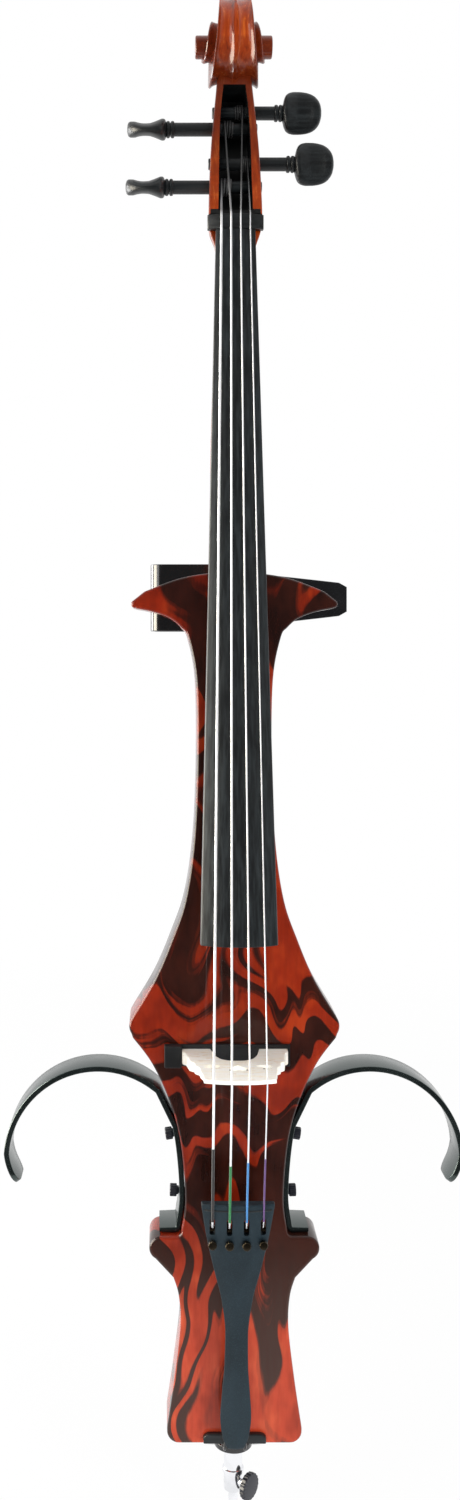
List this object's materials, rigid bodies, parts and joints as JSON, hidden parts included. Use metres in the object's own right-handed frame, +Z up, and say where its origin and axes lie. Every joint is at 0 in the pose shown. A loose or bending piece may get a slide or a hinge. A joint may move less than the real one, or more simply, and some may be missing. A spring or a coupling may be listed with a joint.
{
  "type": "electric cello",
  "caption": "Solid-body electric cello with a marbled red body, carved scroll, curved knee rests, chest rest, bridge pickup, fine tuners and a sliding endpin.",
  "frame": {"origin": "centre of the flat tip of the endpin foot, on the axis of the endpin", "axes": "+Z up the instrument to the scroll, -Y out of the front where the strings are, +X to the right of someone who faces the strings"},
  "size_m": [0.3934, 0.1829, 1.3264],
  "materials": {
    "body_varnish": "high gloss, dark marbled pattern",
    "neck_varnish": "gloss varnish",
    "ebony": "satin black",
    "bridge_maple": "bare wood",
    "black_composite": "matt",
    "black_steel": "gloss black",
    "chrome": "polished",
    "string_steel": "wound steel",
    "dark_brass": "polished",
    "black_plastic": "satin",
    "rubber": "matt",
    "gut_cord": "braided cord",
    "cell_steel": "satin",
    "circuit_board": "satin"
  },
  "bodies": {
    "frame": {"body": "body_varnish", "neck": "neck_varnish", "nut": "ebony", "fingerboard": "ebony", "saddle": "ebony", "pickup_bar": "black_plastic", "bridge": "bridge_maple", "tailpiece": "black_composite", "tail_gut": "gut_cord", "string_c": "string_steel", "string_g": "string_steel", "string_d": "string_steel", "string_a": "string_steel", "endpin_flange": "chrome", "endpin_socket": "chrome", "knee_rest_left": "black_steel", "knee_rest_right": "black_steel", "chest_rest": "black_steel", "chest_screw_1": "black_steel", "chest_screw_2": "black_steel", "neck_bolt_1": "chrome", "neck_bolt_2": "chrome", "neck_bolt_3": "chrome", "neck_bolt_4": "chrome", "control_plate": "black_plastic", "plate_screw_1": "chrome", "plate_screw_2": "chrome", "plate_screw_3": "chrome", "plate_screw_4": "chrome", "battery": "cell_steel", "battery_clip": "black_plastic", "preamp_board": "circuit_board", "volume_pot": "cell_steel", "tone_pot": "cell_steel", "switch_body": "black_plastic", "output_jack": "chrome"},
    "endpin": {"endpin_rod": "chrome", "endpin_foot": "rubber"},
    "endpin_clamp": {"endpin_thumbscrew": "black_steel"},
    "peg_c": {"peg_c": "ebony"},
    "peg_g": {"peg_g": "ebony"},
    "peg_d": {"peg_d": "ebony"},
    "peg_a": {"peg_a": "ebony"},
    "tuner_screw_c": {"tuner_screw_c": "dark_brass"},
    "tuner_lever_c": {"tuner_lever_c": "dark_brass"},
    "tuner_screw_g": {"tuner_screw_g": "dark_brass"},
    "tuner_lever_g": {"tuner_lever_g": "dark_brass"},
    "tuner_screw_d": {"tuner_screw_d": "dark_brass"},
    "tuner_lever_d": {"tuner_lever_d": "dark_brass"},
    "tuner_screw_a": {"tuner_screw_a": "dark_brass"},
    "tuner_lever_a": {"tuner_lever_a": "dark_brass"},
    "knee_screw_left_lower": {"knee_screw_left_lower": "black_steel"},
    "knee_screw_left_upper": {"knee_screw_left_upper": "black_steel"},
    "knee_screw_right_lower": {"knee_screw_right_lower": "black_steel"},
    "knee_screw_right_upper": {"knee_screw_right_upper": "black_steel"},
    "volume_knob": {"volume_knob": "black_plastic"},
    "tone_knob": {"tone_knob": "black_plastic"},
    "power_switch": {"power_switch": "black_plastic"},
    "battery_door": {"battery_door": "black_plastic"}
  },
  "joints": [
    {"name": "endpin_slide", "type": "slide", "parent": "frame", "child": "endpin", "axis": [0, 0, -1], "range_m": [0, 0.28]},
    {"name": "endpin_clamp_turn", "type": "hinge", "parent": "frame", "child": "endpin_clamp", "pos_m": [0, 0, 0.052], "axis": [0.766, -0.6428, 0], "range_deg": [0, 720]},
    {"name": "peg_c_turn", "type": "hinge", "parent": "frame", "child": "peg_c", "pos_m": [0, -0.02158, 1.1602], "axis": [1, 0, 0], "continuous": true},
    {"name": "peg_g_turn", "type": "hinge", "parent": "frame", "child": "peg_g", "pos_m": [0, -0.01311, 1.21252], "axis": [1, 0, 0], "continuous": true},
    {"name": "peg_d_turn", "type": "hinge", "parent": "frame", "child": "peg_d", "pos_m": [0, -0.01071, 1.2273], "axis": [1, 0, 0], "continuous": true},
    {"name": "peg_a_turn", "type": "hinge", "parent": "frame", "child": "peg_a", "pos_m": [0, -0.01822, 1.18097], "axis": [1, 0, 0], "continuous": true},
    {"name": "tuner_screw_c_turn", "type": "hinge", "parent": "frame", "child": "tuner_screw_c", "pos_m": [-0.0207, -0.07, 0.2866], "axis": [0, 1, 0], "range_deg": [0, 720]},
    {"name": "tuner_lever_c_tilt", "type": "hinge", "parent": "frame", "child": "tuner_lever_c", "pos_m": [-0.0207, -0.06042, 0.2971], "axis": [1, 0, 0], "range_deg": [0, 6]},
    {"name": "tuner_screw_g_turn", "type": "hinge", "parent": "frame", "child": "tuner_screw_g", "pos_m": [-0.0069, -0.07, 0.2866], "axis": [0, 1, 0], "range_deg": [0, 720]},
    {"name": "tuner_lever_g_tilt", "type": "hinge", "parent": "frame", "child": "tuner_lever_g", "pos_m": [-0.0069, -0.06042, 0.2971], "axis": [1, 0, 0], "range_deg": [0, 6]},
    {"name": "tuner_screw_d_turn", "type": "hinge", "parent": "frame", "child": "tuner_screw_d", "pos_m": [0.0069, -0.07, 0.2866], "axis": [0, 1, 0], "range_deg": [0, 720]},
    {"name": "tuner_lever_d_tilt", "type": "hinge", "parent": "frame", "child": "tuner_lever_d", "pos_m": [0.0069, -0.06042, 0.2971], "axis": [1, 0, 0], "range_deg": [0, 6]},
    {"name": "tuner_screw_a_turn", "type": "hinge", "parent": "frame", "child": "tuner_screw_a", "pos_m": [0.0207, -0.07, 0.2866], "axis": [0, 1, 0], "range_deg": [0, 720]},
    {"name": "tuner_lever_a_tilt", "type": "hinge", "parent": "frame", "child": "tuner_lever_a", "pos_m": [0.0207, -0.06042, 0.2971], "axis": [1, 0, 0], "range_deg": [0, 6]},
    {"name": "knee_screw_left_lower_turn", "type": "hinge", "parent": "frame", "child": "knee_screw_left_lower", "pos_m": [-0.04705, 0.0045, 0.29954], "axis": [-0.9996, 0, 0.029], "range_deg": [0, 720]},
    {"name": "knee_screw_left_upper_turn", "type": "hinge", "parent": "frame", "child": "knee_screw_left_upper", "pos_m": [-0.05094, 0.0045, 0.34957], "axis": [-0.9871, 0, -0.16], "range_deg": [0, 720]},
    {"name": "knee_screw_right_lower_turn", "type": "hinge", "parent": "frame", "child": "knee_screw_right_lower", "pos_m": [0.04705, 0.0045, 0.29954], "axis": [0.9996, 0, 0.029], "range_deg": [0, 720]},
    {"name": "knee_screw_right_upper_turn", "type": "hinge", "parent": "frame", "child": "knee_screw_right_upper", "pos_m": [0.05094, 0.0045, 0.34957], "axis": [0.9871, 0, -0.16], "range_deg": [0, 720]},
    {"name": "volume_turn", "type": "hinge", "parent": "frame", "child": "volume_knob", "pos_m": [-0.04, 0.025, 0.4675], "axis": [0, 1, 0], "range_deg": [-150, 150]},
    {"name": "tone_turn", "type": "hinge", "parent": "frame", "child": "tone_knob", "pos_m": [-0.04, 0.025, 0.4365], "axis": [0, 1, 0], "range_deg": [-150, 150]},
    {"name": "power_switch_slide", "type": "slide", "parent": "frame", "child": "power_switch", "axis": [1, 0, 0], "range_m": [0, 0.004]},
    {"name": "battery_door_hinge", "type": "hinge", "parent": "frame", "child": "battery_door", "pos_m": [0.03815, 0.0247, 0.4214], "axis": [-1, 0, 0], "range_deg": [0, 95]}
  ],
  "couplings": [
    {"joint": "tuner_lever_c_tilt", "follows": "tuner_screw_c_turn", "ratio": 0.008333},
    {"joint": "tuner_lever_g_tilt", "follows": "tuner_screw_g_turn", "ratio": 0.008333},
    {"joint": "tuner_lever_d_tilt", "follows": "tuner_screw_d_turn", "ratio": 0.008333},
    {"joint": "tuner_lever_a_tilt", "follows": "tuner_screw_a_turn", "ratio": 0.008333}
  ]
}
